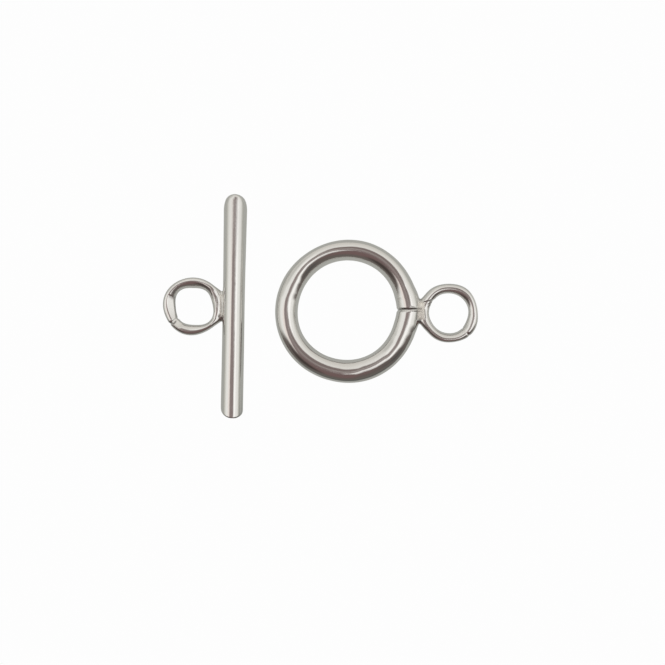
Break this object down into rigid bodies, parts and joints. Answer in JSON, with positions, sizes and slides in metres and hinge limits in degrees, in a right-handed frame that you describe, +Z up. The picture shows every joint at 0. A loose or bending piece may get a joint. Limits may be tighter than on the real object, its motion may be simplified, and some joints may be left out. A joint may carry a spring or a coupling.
{
  "type": "toggle clasp",
  "caption": "Two-part toggle clasp of round polished wire: a ring and a straight bar, each with a soldered eye for a chain or cord.",
  "frame": {"origin": "on the surface that the clasp lies on, under the middle of the box round both halves", "axes": "+X from the bar half to the ring half, +Y along the bar towards its thicker end, +Z up from the surface"},
  "size_m": [0.0286, 0.0202, 0.0021],
  "materials": {
    "polished_steel": "bright polished stainless steel wire, lightly tumbled, with fine hairlines"
  },
  "bodies": {
    "root": {"toggle_ring": "polished_steel", "toggle_bar": "polished_steel"}
  },
  "joints": []
}
